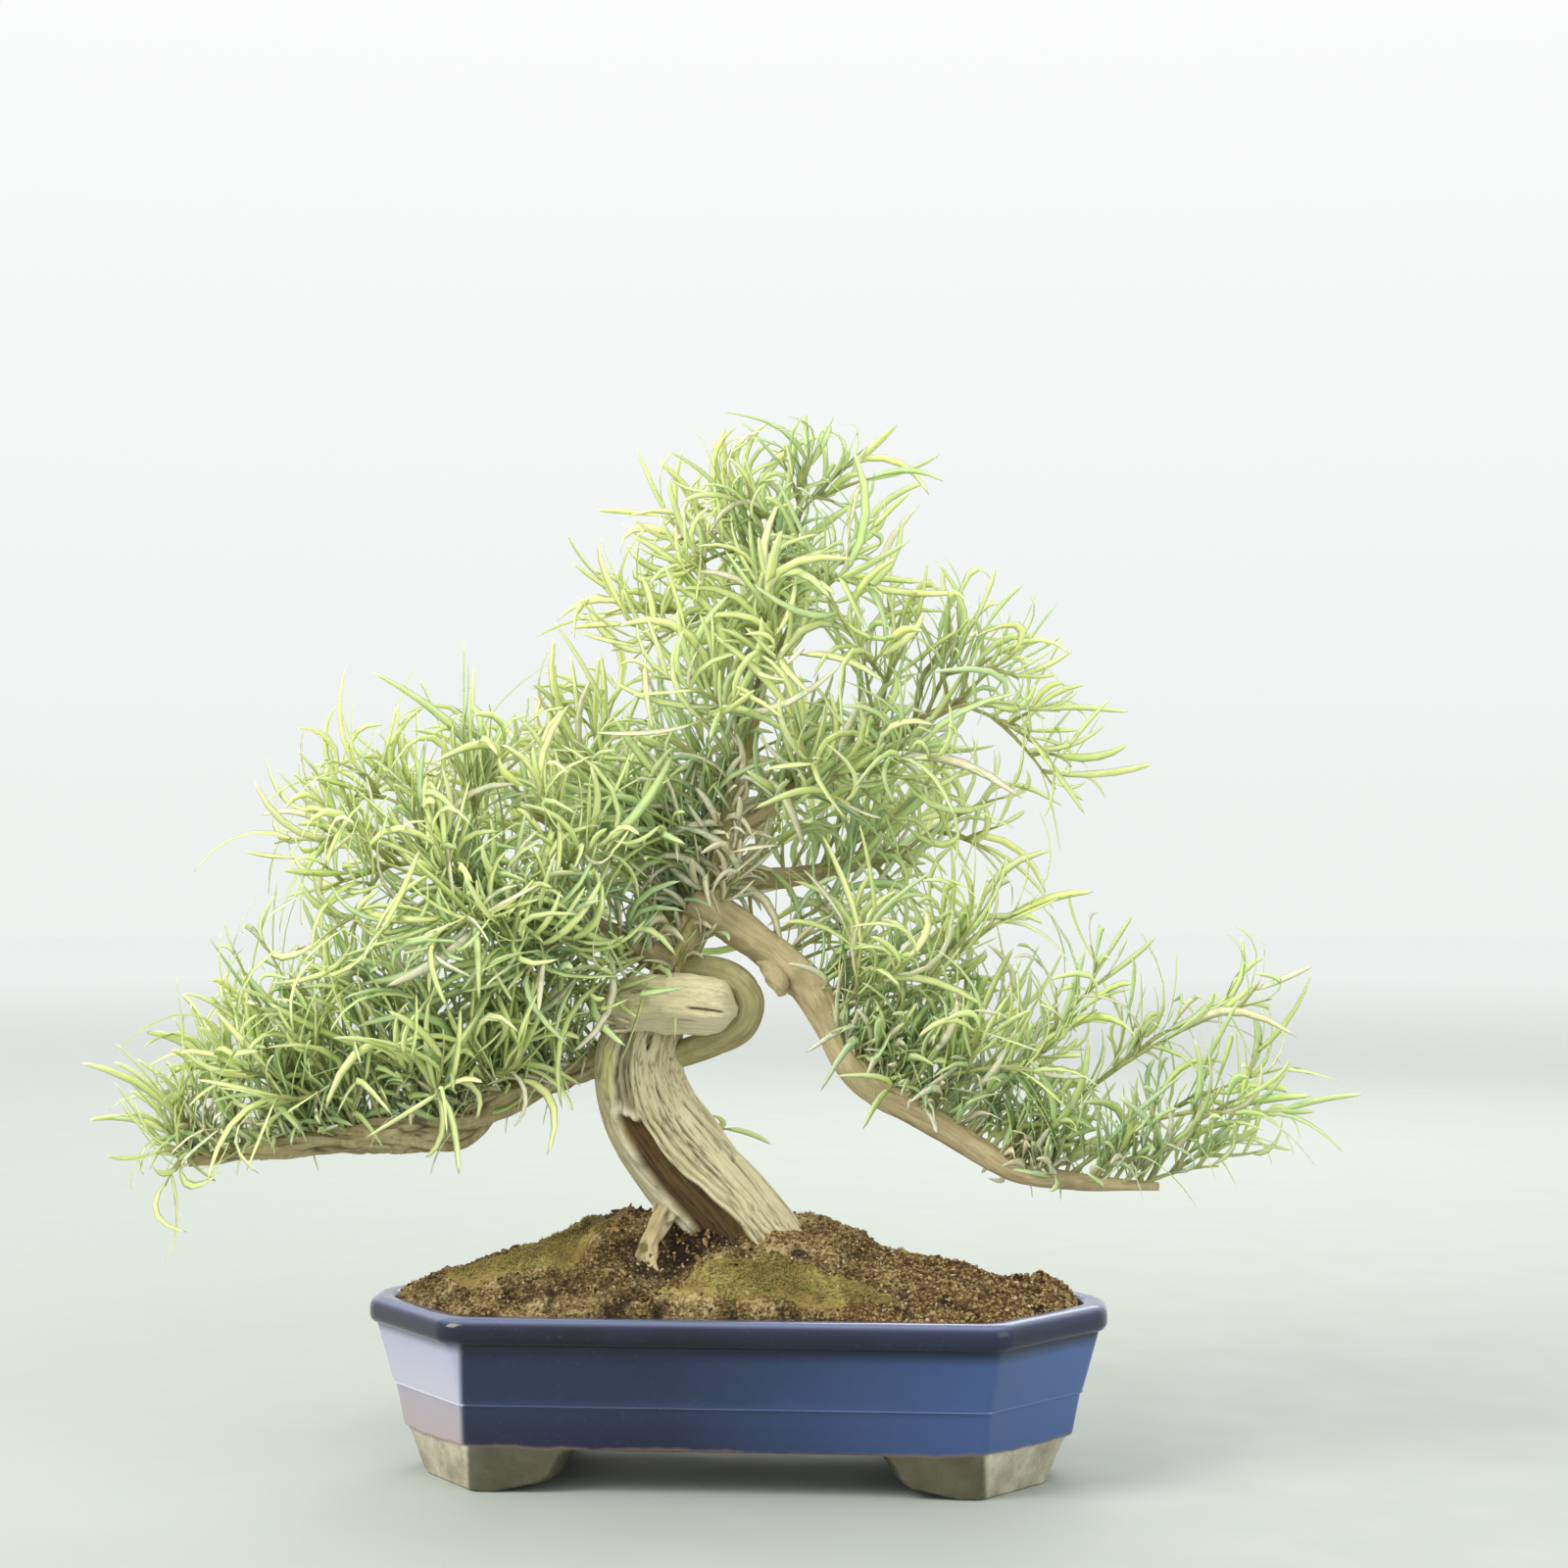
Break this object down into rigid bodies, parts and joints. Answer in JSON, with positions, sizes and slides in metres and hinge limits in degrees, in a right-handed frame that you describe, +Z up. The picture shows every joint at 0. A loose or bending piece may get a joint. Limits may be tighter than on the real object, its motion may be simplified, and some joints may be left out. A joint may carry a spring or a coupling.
{
  "type": "willow-leaved bonsai in a footed pot",
  "caption": "Bonsai with narrow willow-like leaves on a leaning driftwood trunk, in mossy soil in a shallow eight-sided blue glazed pot on corner feet.",
  "frame": {"origin": "on the ground, at the middle of the whole plant's length and depth, 2 mm left of the pot's middle and 8 mm behind it", "axes": "+X along the pot's long side towards the lower right branch, -Y out of the front, +Z up"},
  "size_m": [0.5186, 0.1784, 0.4493],
  "materials": {
    "glaze": "deep slate-blue gloss glaze, bare cream clay on the feet",
    "screen": "matt netting",
    "soil": "crumbly granular earth",
    "moss": "dry olive moss",
    "driftwood": "weathered, bleached and grooved",
    "bark": "smooth to rough thin bark",
    "foliage": "satin narrow leaves, yellow-green at the tips"
  },
  "bodies": {
    "root": {"back_left_branch": "bark", "back_left_branch_spray_1": "foliage", "back_left_branch_spray_2": "foliage", "back_left_branch_spray_3": "foliage", "back_left_branch_spray_4": "foliage", "back_right_branch": "bark", "back_right_branch_spray_1": "foliage", "back_right_branch_spray_2": "foliage", "back_right_branch_spray_3": "foliage", "drain_screen_left": "screen", "drain_screen_right": "screen", "jin_stub": "driftwood", "leader": "bark", "leader_spray_1": "foliage", "leader_spray_2": "foliage", "leader_spray_3": "foliage", "leader_spray_4": "foliage", "leader_spray_5": "foliage", "leader_spray_6": "foliage", "leader_spray_7": "foliage", "leader_spray_8": "foliage", "left_branch": "bark", "left_branch_spray_1": "foliage", "left_branch_spray_2": "foliage", "left_branch_spray_3": "foliage", "left_branch_spray_4": "foliage", "left_branch_spray_5": "foliage", "left_branch_spray_6": "foliage", "left_branch_spray_7": "foliage", "live_vein": "bark", "moss_back": "moss", "moss_front": "moss", "moss_left": "moss", "pot": "glaze", "right_branch": "bark", "right_branch_spray_1": "foliage", "right_branch_spray_2": "foliage", "right_branch_spray_3": "foliage", "right_branch_spray_4": "foliage", "right_branch_spray_5": "foliage", "right_branch_spray_6": "foliage", "right_branch_spray_7": "foliage", "right_branch_spray_8": "foliage", "soil": "soil", "surface_root": "bark", "trunk": "driftwood", "upper_left_branch": "bark", "upper_left_branch_spray_1": "foliage", "upper_left_branch_spray_2": "foliage", "upper_left_branch_spray_3": "foliage", "upper_left_branch_spray_4": "foliage", "upper_left_branch_spray_5": "foliage", "upper_left_branch_spray_6": "foliage", "upper_left_branch_spray_7": "foliage", "upper_right_branch": "bark", "upper_right_branch_spray_1": "foliage", "upper_right_branch_spray_2": "foliage", "upper_right_branch_spray_3": "foliage", "upper_right_branch_spray_4": "foliage", "upper_right_branch_spray_5": "foliage"}
  },
  "joints": []
}
